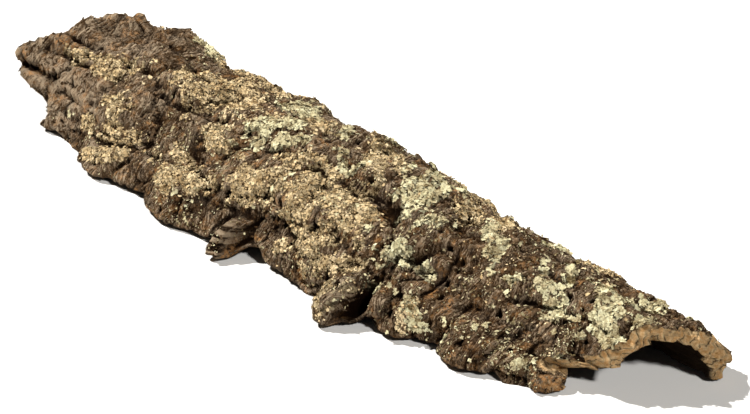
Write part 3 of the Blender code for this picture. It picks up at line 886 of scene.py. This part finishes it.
def draggedVector(tree, vector, place, scale, detail, reach):
    # a vector moved about by a noise of that scale, over that reach
    drag = noiseOf(tree, place, scale, detail, output="Color")
    drag = addNode(tree, "ShaderNodeVectorMath", {0: drag, "Scale": reach}, operation="SCALE").outputs[0]
    return addNode(tree, "ShaderNodeVectorMath", {0: drag, 1: vector}, operation="ADD").outputs[0]


def creases(tree, vector, scale, detail, width, distortion=0.0):
    # thin lines where a noise passes through its middle value: 1 on a line, 0 away from it
    away = minus(tree, noiseOf(tree, vector, scale, detail, 0.5, distortion), 0.5)
    return between(tree, calculate(tree, "ABSOLUTE", away), width, 0.0)


def newGroup(name, inputs, outputs):
    group = bpy.data.node_groups.new(name, "ShaderNodeTree")
    for label, kind, value in inputs:
        socket = group.interface.new_socket(name=label, in_out="INPUT", socket_type=kind)
        if value is not None:
            socket.default_value = value
    for label, kind in outputs:
        group.interface.new_socket(name=label, in_out="OUTPUT", socket_type=kind)
    return group, group.nodes.new("NodeGroupInput").outputs, group.nodes.new("NodeGroupOutput").inputs


def makeCreviceShading():
    # painted shade in crevices: low places of the relief darkened, broken up by a fine speckle
    group, given, result = newGroup(
        "crevice dirt",
        [("Vector", "NodeSocketVector", None), ("Depth", "NodeSocketFloat", 0.0),
         ("Scale", "NodeSocketFloat", 500.0), ("Reach", "NodeSocketFloat", 1.0)],
        [("Mask", "NodeSocketFloat"), ("Speckle", "NodeSocketFloat")])
    speckle = noiseOf(group, given["Vector"], given["Scale"], 5.0, 0.7)
    level = plus(group, given["Depth"], times(group, minus(group, speckle, 0.5), 4.0))
    mask = between(group, times(group, level, -1.0), 0.35, given["Reach"])
    group.links.new(mask, result["Mask"])
    group.links.new(speckle, result["Speckle"])
    return group


def newMaterial(name, roughness):
    material = bpy.data.materials.new(name)
    material.use_nodes = True
    shader = material.node_tree.nodes["Principled BSDF"]
    shader.inputs["Roughness"].default_value = roughness
    shader.inputs["Specular IOR Level"].default_value = 0.02
    return material, material.node_tree, shader


# Finishes

barkFinish = {
    "dark": (0.006, 0.002, 0.0006),
    "deep": (0.036, 0.018, 0.007),
    "middle": (0.142, 0.092, 0.053),
    "worn": (0.310, 0.222, 0.142),
    "bleached": (0.570, 0.440, 0.300),
    "greyFilm": (0.235, 0.192, 0.146),
    "redBrown": (0.130, 0.070, 0.034),
    "fresh": (0.500, 0.215, 0.066),
    "freshPale": (0.660, 0.380, 0.165),
    "cutPale": (0.960, 0.700, 0.385),
    "cutDeep": (0.740, 0.410, 0.160),
    # the inner face: near black, painted shade over the inner bark's own dark brown
    "inside": (0.012, 0.007, 0.004),
    "insidePale": (0.034, 0.020, 0.011),
    "bumpDepth": 0.0080,
}
# height, wrinkles and lines paint light on crests and shade in grooves; the dark places are partly painted
# shade
bareTone = {                  # what each part adds to the tone of bare bark
    "height": 0.12,
    "broad": 0.20,
    "speckle": 0.42,
    "wrinkles": 0.42,
    "lines": -0.50,
    "shade": -0.44,
    "base": 0.16,
    "wrinkleScale": (520.0, 80.0, 1.0),
    "crackScale": (170.0, 44.0, 1.0),
    "swirl": (24.0, 1.0, 0.034),    # scale, detail and reach of what drags the wrinkles about
}
# lobe and height make the lobes' tops lighter as painted light; gaps darken between lobes, partly painted
# shade
lobes = {                       # what each part adds to the tone of the lichens
    "lobe": 0.34,
    "grain": 0.56,
    "height": 0.10,
    "gaps": -0.70,
    "base": 0.19,
    "warp": (190.0, 3.0, 0.012),
    "lobeScale": 330.0,
    "gapScale": 230.0,
    "frill": 1.8,               # how far the patches' outlines fray
    "outline": (0.36, 0.50),
}
growth = {                      # growth lines of the broken wall
    "knots": (34.0, 3.6),       # scale and share of the round knots, and of the waves between them
    "waves": (60.0, 3.0),
    "layers": 0.8,
    "band": (0.20, 0.44),
    "bandShare": 0.34,
    "line": (0.41, 0.48),
    "lineShare": 0.80,
}


def rgba(name):
    return (*barkFinish[name], 1)


def bareBark(tree, place, hollow, crevice, shadeAndSpeckle, wrinkles, lines, cracks):
    # height, wrinkles, speckle and broad patches added up to a tone, then a grey film and red-brown specks;
    # height, wrinkles and lines are painted light and shade, and cracks are painted shade
    depth = plus(tree, times(tree, hollow, 0.6), times(tree, crevice, 0.7))
    tree.links.new(depth, shadeAndSpeckle.inputs["Depth"])
    parts = {"height": depth, "broad": noiseMask(tree, place, 26.0, 3.0, 0.5), "lines": lines,
             "speckle": between(tree, shadeAndSpeckle.outputs["Speckle"], 0.38, 0.62),
             "wrinkles": between(tree, wrinkles, 0.40, 0.60), "shade": attribute(tree, "shade")}
    tone = plus(tree, bareTone["base"], *[times(tree, part, bareTone[k]) for k, part in parts.items()])
    colour = ramp(tree, tone, [(0.10, barkFinish["deep"]), (0.34, barkFinish["middle"]),
                               (0.58, barkFinish["worn"]), (0.90, barkFinish["bleached"])])
    grey = times(tree, noiseMask(tree, place, 60.0, 4.0, 0.6, 0.48, 0.62), 0.40)
    colour = mixColour(tree, grey, colour, mixColour(tree, 0.5, rgba("greyFilm"), colour))
    red = times(tree, noiseMask(tree, place, 110.0, 5.0, 0.7, 0.58, 0.66), 0.06)
    colour = mixColour(tree, red, colour, rgba("redBrown"))
    # painted shade: open cracks darkened nearly to black
    return mixColour(tree, times(tree, cracks, 0.9), colour, rgba("dark")), depth


def freshCork(tree, place, colour, speckle):
    # orange cork at broken spots and at the edges of ledges
    ledge = times(tree, times(tree, attribute(tree, "ledge"), 0.35),
                  noiseMask(tree, place, 95.0, 3.0, 0.6, 0.63, 0.70))
    spots = times(tree, attribute(tree, "fresh"), noiseMask(tree, place, 300.0, 5.0, 0.7, 0.44, 0.54))
    fresh = calculate(tree, "MAXIMUM", spots, ledge)
    freshColour = mixColour(tree, between(tree, speckle, 0.35, 0.65), rgba("fresh"), rgba("freshPale"))
    return mixColour(tree, times(tree, fresh, 0.85), colour, freshColour), fresh


def lichenCover(tree, place, colour, depth):
    # small lobes by the distance to scattered points, lighter at their tops and dark in the gaps between
    # them, over both patches; tops and gaps are painted light and shade, the gaps partly bark showing through
    lobeAt = draggedVector(tree, place, place, *lobes["warp"])
    parts = {"lobe": between(tree, spotsOf(tree, lobeAt, lobes["lobeScale"]), 0.80, 0.10),
             "grain": noiseMask(tree, place, 620.0, 5.0, 0.78, 0.34, 0.66), "height": depth,
             "gaps": creases(tree, place, lobes["gapScale"], 5.0, 0.044)}
    tone = plus(tree, lobes["base"], *[times(tree, part, lobes[k]) for k, part in parts.items()])
    frill = times(tree, minus(tree, noiseOf(tree, place, 230.0, 6.0, 0.7), 0.5), lobes["frill"])
    covers = []
    for kind in ("crust", "leaf"):
        cover = between(tree, plus(tree, attribute(tree, kind), frill), *lobes["outline"])
        colour = mixColour(tree, cover, colour, ramp(tree, tone, lichenFinish[kind]))
        covers.append(cover)
    # painted shade: open cracks, pits and clefts darkened nearly to black
    colour = mixColour(tree, times(tree, attribute(tree, "gap"), 0.92), colour, rgba("dark"))
    return colour, tone, calculate(tree, "MAXIMUM", *covers)


def brokenWall(tree, place, colour):
    # sawtooth of knots, waves and layers: its steps are the growth lines of the broken wall
    (knotScale, knotShare), (waveScale, waveShare) = growth["knots"], growth["waves"]
    rings = plus(tree, times(tree, spotsOf(tree, place, knotScale), knotShare),
                 times(tree, noiseOf(tree, place, waveScale, 4.0), waveShare),
                 times(tree, attribute(tree, "layer"), growth["layers"]))
    ring = calculate(tree, "ABSOLUTE", minus(tree, calculate(tree, "FRACT", rings), 0.5))
    line = times(tree, between(tree, ring, *growth["line"]),
                 noiseMask(tree, place, 75.0, 2.0, 0.5, 0.40, 0.54))
    speckle = noiseMask(tree, place, 260.0, 5.0, 0.7, 0.38, 0.62)
    tone = plus(tree, times(tree, speckle, 0.6), ring)
    cutColour = mixColour(tree, between(tree, tone, 0.15, 0.85), rgba("cutDeep"), rgba("cutPale"))
    band = times(tree, between(tree, ring, *growth["band"]), growth["bandShare"])
    cutColour = mixColour(tree, band, cutColour, rgba("redBrown"))
    cutColour = mixColour(tree, times(tree, line, growth["lineShare"]), cutColour, rgba("deep"))
    nearCut = attribute(tree, "nearCut")
    cut = between(tree, plus(tree, nearCut, times(tree, speckle, 0.5)), 0.45, 0.85)
    cut = times(tree, cut, between(tree, nearCut, 0.0, 0.3))
    layered = plus(tree, times(tree, line, 0.4), times(tree, ring, 1.5))
    return mixColour(tree, cut, colour, cutColour), times(tree, cut, layered)


def makeBarkFinish(shading):
    material, tree, shader = newMaterial("weathered cork bark", 0.88)
    place = addNode(tree, "ShaderNodeTexCoord").outputs["Object"]
    sheet = addNode(tree, "ShaderNodeUVMap", uv_map="sheet").outputs[0]
    # its Mask paints shade into crevices; its Speckle is a grain of the bark's own colour
    shadeAndSpeckle = addNode(tree, "ShaderNodeGroup", {"Vector": place, "Scale": 520.0, "Reach": 1.5}, node_tree=shading)
    swept = draggedVector(tree, sheet, place, *bareTone["swirl"])
    wrinkledAt = scaledVector(tree, swept, bareTone["wrinkleScale"])
    wrinkles = noiseOf(tree, wrinkledAt, 1.0, 5.0, 0.5, 0.9)
    lines = creases(tree, wrinkledAt, 1.0, 4.0, 0.042, 0.9)
    crackedAt = scaledVector(tree, swept, bareTone["crackScale"])
    cracks = times(tree, creases(tree, crackedAt, 1.0, 5.0, 0.034, 1.2),
                   noiseMask(tree, place, 45.0, 3.0, 0.6, 0.42, 0.52))
    colour, depth = bareBark(tree, place, attribute(tree, "hollow"), attribute(tree, "crevice"), shadeAndSpeckle,
                             wrinkles, lines, cracks)
    colour, fresh = freshCork(tree, place, colour, shadeAndSpeckle.outputs["Speckle"])
    colour, lobeTone, cover = lichenCover(tree, place, colour, depth)

    # broken scale and inner face, both with lengthwise fibres; the inner face is near black, painted shade
    # over its own dark brown
    fibres = noiseOf(tree, scaledVector(tree, sheet, (30.0, 420.0, 1.0)), 1.0, 5.0)
    scaleColour = ramp(tree, fibres, [(0.42, barkFinish["dark"]), (0.49, barkFinish["worn"]),
                                      (0.58, barkFinish["bleached"])])
    scale = calculate(tree, "SUBTRACT", attribute(tree, "scale"), fresh, True)
    colour = mixColour(tree, scale, colour, scaleColour)
    insideColour = mixColour(tree, between(tree, fibres, 0.35, 0.65), rgba("inside"), rgba("insidePale"))
    colour = mixColour(tree, attribute(tree, "inside"), colour, insideColour)
    colour, grooves = brokenWall(tree, place, colour)
    # painted shade: crevices and low places darkened nearly to black
    colour = mixColour(tree, times(tree, shadeAndSpeckle.outputs["Mask"], 0.9), colour, rgba("dark"))
    tree.links.new(colour, shader.inputs["Base Color"])

    # bump: crumbling, wrinkles, lichen lobes and growth lines
    crumb = noiseOf(tree, place, 460.0, 7.0, 0.80)
    furrowed = minus(tree, minus(tree, wrinkles, times(tree, lines, 0.35)), times(tree, cracks, 0.6))
    bumps = mixValue(tree, cover, times(tree, furrowed, 0.6), lobeTone)
    height = plus(tree, times(tree, crumb, mixValue(tree, cover, 0.85, 1.05)), times(tree, bumps, 0.6),
                  times(tree, cover, 0.12))
    height = minus(tree, height, grooves)
    bump = addNode(tree, "ShaderNodeBump", {"Height": height, "Distance": barkFinish["bumpDepth"]})
    tree.links.new(bump.outputs[0], shader.inputs["Normal"])
    return material


lichenFinish = {
    "crust": [(0.12, (0.034, 0.015, 0.004)), (0.27, (0.190, 0.118, 0.048)),
              (0.42, (0.450, 0.322, 0.168)), (0.62, (0.670, 0.515, 0.290)), (0.90, (0.810, 0.660, 0.420))],
    "leaf": [(0.10, (0.045, 0.026, 0.009)), (0.26, (0.190, 0.142, 0.066)),
             (0.44, (0.420, 0.352, 0.208)), (0.66, (0.640, 0.595, 0.375)), (0.92, (0.790, 0.765, 0.530))],
    "chip": [(0.0, (0.020, 0.010, 0.004)), (0.35, (0.085, 0.053, 0.029)),
             (0.70, (0.250, 0.175, 0.107)), (0.95, (0.480, 0.365, 0.245))],
}
flakeBump = 0.0012              # depth of the grain on each flake


def makeFlakeFinish(name, stops, shading, grainScale, rimShare):
    # colour by each flake's own tint, darkened at its rim by rimShare as painted shade between flakes, with
    # painted shade where it lies low
    material, tree, shader = newMaterial(name, 0.85)
    place = addNode(tree, "ShaderNodeTexCoord").outputs["Object"]
    shadeAndSpeckle = addNode(tree, "ShaderNodeGroup", {"Vector": place, "Depth": attribute(tree, "hollow"),
                                             "Scale": grainScale, "Reach": 2.2}, node_tree=shading)
    tint = plus(tree, attribute(tree, "tint"), minus(tree, shadeAndSpeckle.outputs["Speckle"], 0.5),
                times(tree, attribute(tree, "rim"), rimShare))
    colour = ramp(tree, tint, stops)
    # painted shade where the flake lies low
    colour = mixColour(tree, times(tree, shadeAndSpeckle.outputs["Mask"], 0.75), colour, rgba("deep"))
    tree.links.new(colour, shader.inputs["Base Color"])
    bump = addNode(tree, "ShaderNodeBump", {"Height": shadeAndSpeckle.outputs["Speckle"], "Distance": flakeBump})
    tree.links.new(bump.outputs[0], shader.inputs["Normal"])
    return material


# Flakes scattered over the outer face

def surfaceAt(points, u, v):
    # position and normal between the four nearest points of the outer grid
    rows, columns = points.shape[0] - 1, points.shape[1] - 1
    i = np.clip((u * rows).astype(int), 1, rows - 2)
    j = np.clip(((v + 1) / 2 * columns).astype(int), 1, columns - 2)
    fi, fj = (u * rows - i)[:, None], ((v + 1) / 2 * columns - j)[:, None]
    a, b, c, d = points[i, j], points[i + 1, j], points[i, j + 1], points[i + 1, j + 1]
    place = (a * (1 - fi) + b * fi) * (1 - fj) + (c * (1 - fi) + d * fi) * fj
    along = points[i + 2, j] - points[i - 1, j] + points[i + 2, j + 1] - points[i - 1, j + 1]
    around = points[i, j + 2] - points[i, j - 1] + points[i + 1, j + 2] - points[i + 1, j - 1]
    return place, unit(along), unit(np.cross(along, around))


scatter = {                     # what all four kinds of flakes share
    "reach": 0.985,             # how far round the arch they lie
    "deepest": -0.55,           # they stay out of clefts that lie lower than this share of the relief
    "clearance": 0.0003,
    "tintNoise": [(0.6, 0.0080, 61), (0.4, 0.0032, 62)],    # share, size and seed of the shared tint
}


def pickPlaces(rng, points, hollow, share, count):
    # random places of the face, kept where a random number is under the share wanted there
    u, v = rng.rand(count), rng.uniform(-scatter["reach"], scatter["reach"], count)
    face = arch(u, v, 0 * u)
    keep = rng.rand(count) < share(face[:, 0], v, face)
    u, v = u[keep], v[keep]
    rows, columns = hollow.shape[0] - 1, hollow.shape[1] - 1
    low = hollow[(u * rows).astype(int), ((v + 1) / 2 * columns).astype(int)]
    high = low > scatter["deepest"]
    u, v, low = u[high], v[high], low[high]
    place, along, normal = surfaceAt(points, u, v)
    return place, along, normal, low


def makeFlakes(name, rng, found, form, material):
    # each flake is a thin closed lens: a lobed, wavy rim of points between an upper and a lower middle
    place, along, normal, low = (values[:form["most"]] for values in found)
    count, sides = len(place), form["sides"]
    turn = form["turn"] + rng.uniform(-np.pi, np.pi, count) * form["spin"]
    tilt = rng.normal(0, form["tilt"], (count, 2))
    across = np.cross(normal, along)
    a = unit(along * np.cos(turn)[:, None] + across * np.sin(turn)[:, None] + normal * tilt[:, :1])
    up = unit(normal + np.cross(normal, a) * tilt[:, 1:])
    b = np.cross(up, a)
    size = form["radius"] * np.exp(rng.normal(0, form["spread"], count))
    size = np.clip(size, form["smallest"], form["largest"])
    angle = (np.arange(sides) + rng.uniform(-0.3, 0.3, (count, sides))) * 2 * np.pi / sides
    reach = size[:, None] * (1 - form["lobe"] * rng.rand(count, sides))
    lift = size[:, None] * form["curl"] * rng.uniform(-0.4, 1.0, (count, sides))
    base = place + normal * (form["lift"] + form["pile"] * rng.rand(count))[:, None]
    rim = (base[:, None] + a[:, None] * (reach * np.cos(angle) * form["stretch"])[..., None]
           + b[:, None] * (reach * np.sin(angle))[..., None] + up[:, None] * lift[..., None])
    top = base + up * (size * form["dome"])[:, None]
    bottom = base - up * (size * form["belly"])[:, None]
    points = np.concatenate([rim, top[:, None], bottom[:, None]], axis=1)
    start = (np.arange(count) * (sides + 2))[:, None]
    k = np.arange(sides)
    following = (k + 1) % sides
    upper = np.stack([start + k, start + following, start + sides + 0 * k], axis=-1).reshape(-1, 3)
    lower = np.stack([start + following, start + k, start + sides + 1 + 0 * k], axis=-1).reshape(-1, 3)
    points[..., 2] = underCeiling(np.maximum(points[..., 2], scatter["clearance"]))
    mesh = makeMesh(name, points, [upper, lower])
    atRim = np.ones((count, sides + 2))
    atRim[:, sides:] = 0
    shared = sum(share * noise(place, scale, seed) for share, scale, seed in scatter["tintNoise"])
    tint = form["tint"] + form["tintShared"] * shared + form["tintOwn"] * rng.uniform(-0.5, 0.5, count)
    addAttribute(mesh, "tint", tint[:, None] + 0 * atRim)
    addAttribute(mesh, "hollow", low[:, None] + 0 * atRim)
    addAttribute(mesh, "rim", atRim)
    print(name, count, "flakes", 2 * sides * count, "triangles")
    return addPiece(name, mesh, material)


# Tries are random places, and most is how many of them may become flakes. Lengths are metres; stretch,
# lobe, curl, dome and belly are shares of the radius; tint runs along the finish's own ramp.
crustForm = {
    "seed": 101, "tries": 160000, "most": 15500, "sides": 6, "radius": 0.0011, "spread": 0.45,
    "smallest": 0.0005, "largest": 0.0030, "turn": 0.0, "spin": 1.0, "stretch": 1.2, "tilt": 0.36,
    "lobe": 0.62, "curl": 0.40, "lift": 0.0001, "pile": 0.0008, "dome": 0.08, "belly": 0.10,
    "tint": 0.72, "tintShared": 0.46, "tintOwn": 0.26,
}
leafForm = {
    "seed": 102, "tries": 160000, "most": 8600, "sides": 11, "radius": 0.0019, "spread": 0.45,
    "smallest": 0.0008, "largest": 0.0048, "turn": 0.0, "spin": 1.0, "stretch": 1.3, "tilt": 0.24,
    "lobe": 0.70, "curl": 0.30, "lift": 0.0003, "pile": 0.0010, "dome": 0.06, "belly": 0.06,
    "tint": 0.59, "tintShared": 0.38, "tintOwn": 0.28,
}
speckForm = {
    "seed": 104, "tries": 90000, "most": 8000, "sides": 5, "radius": 0.0007, "spread": 0.40,
    "smallest": 0.0004, "largest": 0.0016, "turn": 1.57, "spin": 0.5, "stretch": 1.8, "tilt": 0.25,
    "lobe": 0.60, "curl": 0.30, "lift": 0.0003, "pile": 0.0004, "dome": 0.10, "belly": 0.10,
    "tint": 0.46, "tintShared": 0.30, "tintOwn": 0.40,
}
chipForm = {
    "seed": 103, "tries": 60000, "most": 8000, "sides": 6, "radius": 0.0012, "spread": 0.42,
    "smallest": 0.0005, "largest": 0.0030, "turn": 1.57, "spin": 0.20, "stretch": 2.2, "tilt": 0.18,
    "lobe": 0.50, "curl": 0.22, "lift": 0.0000, "pile": 0.0003, "dome": 0.15, "belly": 0.30,
    "tint": 0.32, "tintShared": 0.30, "tintOwn": 0.40,
}


# Share of the random places that become flakes, from the patches and from a few strays

def crustShare(x, v, place):
    stray = np.clip(noise(place, 0.030, 51) - 0.15, 0, 1) * 0.04 * (x > -0.30)
    return np.maximum(patchShare(x, v, place, crustPatches, 41) * 0.60, stray)


def leafShare(x, v, place):
    stray = np.clip(noise(place, 0.034, 52) + 0.10, 0, 1) * 0.012 * (x > -0.12)
    return np.maximum(patchShare(x, v, place, leafPatches, 44, leafFray) * 0.40, stray)


def speckShare(x, v, place):
    return (0.03 + 0.35 * np.clip(noise(place, 0.022, 54) + 0.1, 0, 1)) * np.clip((x + 0.30) / 0.10, 0, 1)


def chipShare(x, v, place):
    return 0.15 + 0.5 * np.clip(noise(place, 0.025, 53), 0, 1)


def makeLichens(outerPoints, hollow, shading):
    crust = makeFlakeFinish("beige crust lichen", lichenFinish["crust"], shading, 700.0, -0.16)
    leaf = makeFlakeFinish("pale leafy lichen", lichenFinish["leaf"], shading, 600.0, -0.06)
    chip = makeFlakeFinish("loose cork chips", lichenFinish["chip"], shading, 520.0, -0.10)
    for name, form, share, material in (("crust_lichen", crustForm, crustShare, crust),
                                        ("leafy_lichen", leafForm, leafShare, leaf),
                                        ("lichen_specks", speckForm, speckShare, leaf),
                                        ("bark_chips", chipForm, chipShare, chip)):
        rng = np.random.RandomState(form["seed"])
        found = pickPlaces(rng, outerPoints, hollow, share, form["tries"])
        makeFlakes(name, rng, found, form, material)


creviceShading = makeCreviceShading()
bark, outerPoints, outerHollow = makeBark(makeBarkFinish(creviceShading))
print("bark made,", len(bark.data.polygons), "faces")
makeLichens(outerPoints, outerHollow, creviceShading)
print("lichens and chips made")


# Floor and light

studio = {
    "floorSize": 60.0,
    "floorColour": (0.74, 0.74, 0.735, 1),
    "worldLight": (1.0, 0.96, 0.90, 1),
    "worldStrength": 0.045,
    "backdrop": (0.90, 0.90, 0.89, 1),    # what a camera sees above the floor's far edge
    # azimuth, elevation, angle across in degrees, strength, colour
    "key": (-74.0, 48.0, 1.5, 6.2, (1.0, 0.970, 0.920)),
    "fill": (80.0, 42.0, 6.0, 2.8, (1.0, 0.970, 0.925)),
}


def makeLight(name, azimuth, elevation, across, strength, colour):
    data = bpy.data.lights.new(name, "SUN")
    data.angle = math.radians(across)
    data.energy = strength
    data.color = colour
    light = bpy.data.objects.new(name, data)
    towards = direction(azimuth, elevation)
    light.location = towards
    light.rotation_euler = towards.to_track_quat("Z", "Y").to_euler()
    bpy.context.collection.objects.link(light)


def makeWorld():
    # dim even light for the object, and a pale backdrop for the camera alone
    world = bpy.data.worlds.new("studio")
    world.use_nodes = True
    tree = world.node_tree
    glow = tree.nodes["Background"]
    glow.inputs[0].default_value = studio["worldLight"]
    glow.inputs[1].default_value = studio["worldStrength"]
    backdrop = addNode(tree, "ShaderNodeBackground", {0: studio["backdrop"]})
    rays = addNode(tree, "ShaderNodeLightPath")
    mix = addNode(tree, "ShaderNodeMixShader",
                  {0: rays.outputs["Is Camera Ray"], 1: glow.outputs[0], 2: backdrop.outputs[0]})
    tree.links.new(mix.outputs[0], tree.nodes["World Output"].inputs[0])
    bpy.context.scene.world = world


def makeStudio():
    half = studio["floorSize"] / 2
    corners = np.array([(-half, -half, 0), (half, -half, 0), (half, half, 0), (-half, half, 0)], float)
    mesh = makeMesh("floor", corners, [np.array([[0, 1, 2, 3]])])
    floor = bpy.data.objects.new("floor", mesh)
    material, _, shader = newMaterial("pale floor", 0.9)
    shader.inputs["Base Color"].default_value = studio["floorColour"]
    mesh.materials.append(material)
    bpy.context.collection.objects.link(floor)
    makeLight("key light", *studio["key"])
    makeLight("fill light", *studio["fill"])
    makeWorld()
    bpy.context.scene.view_settings.view_transform = "Standard"


makeStudio()
print("studio made")
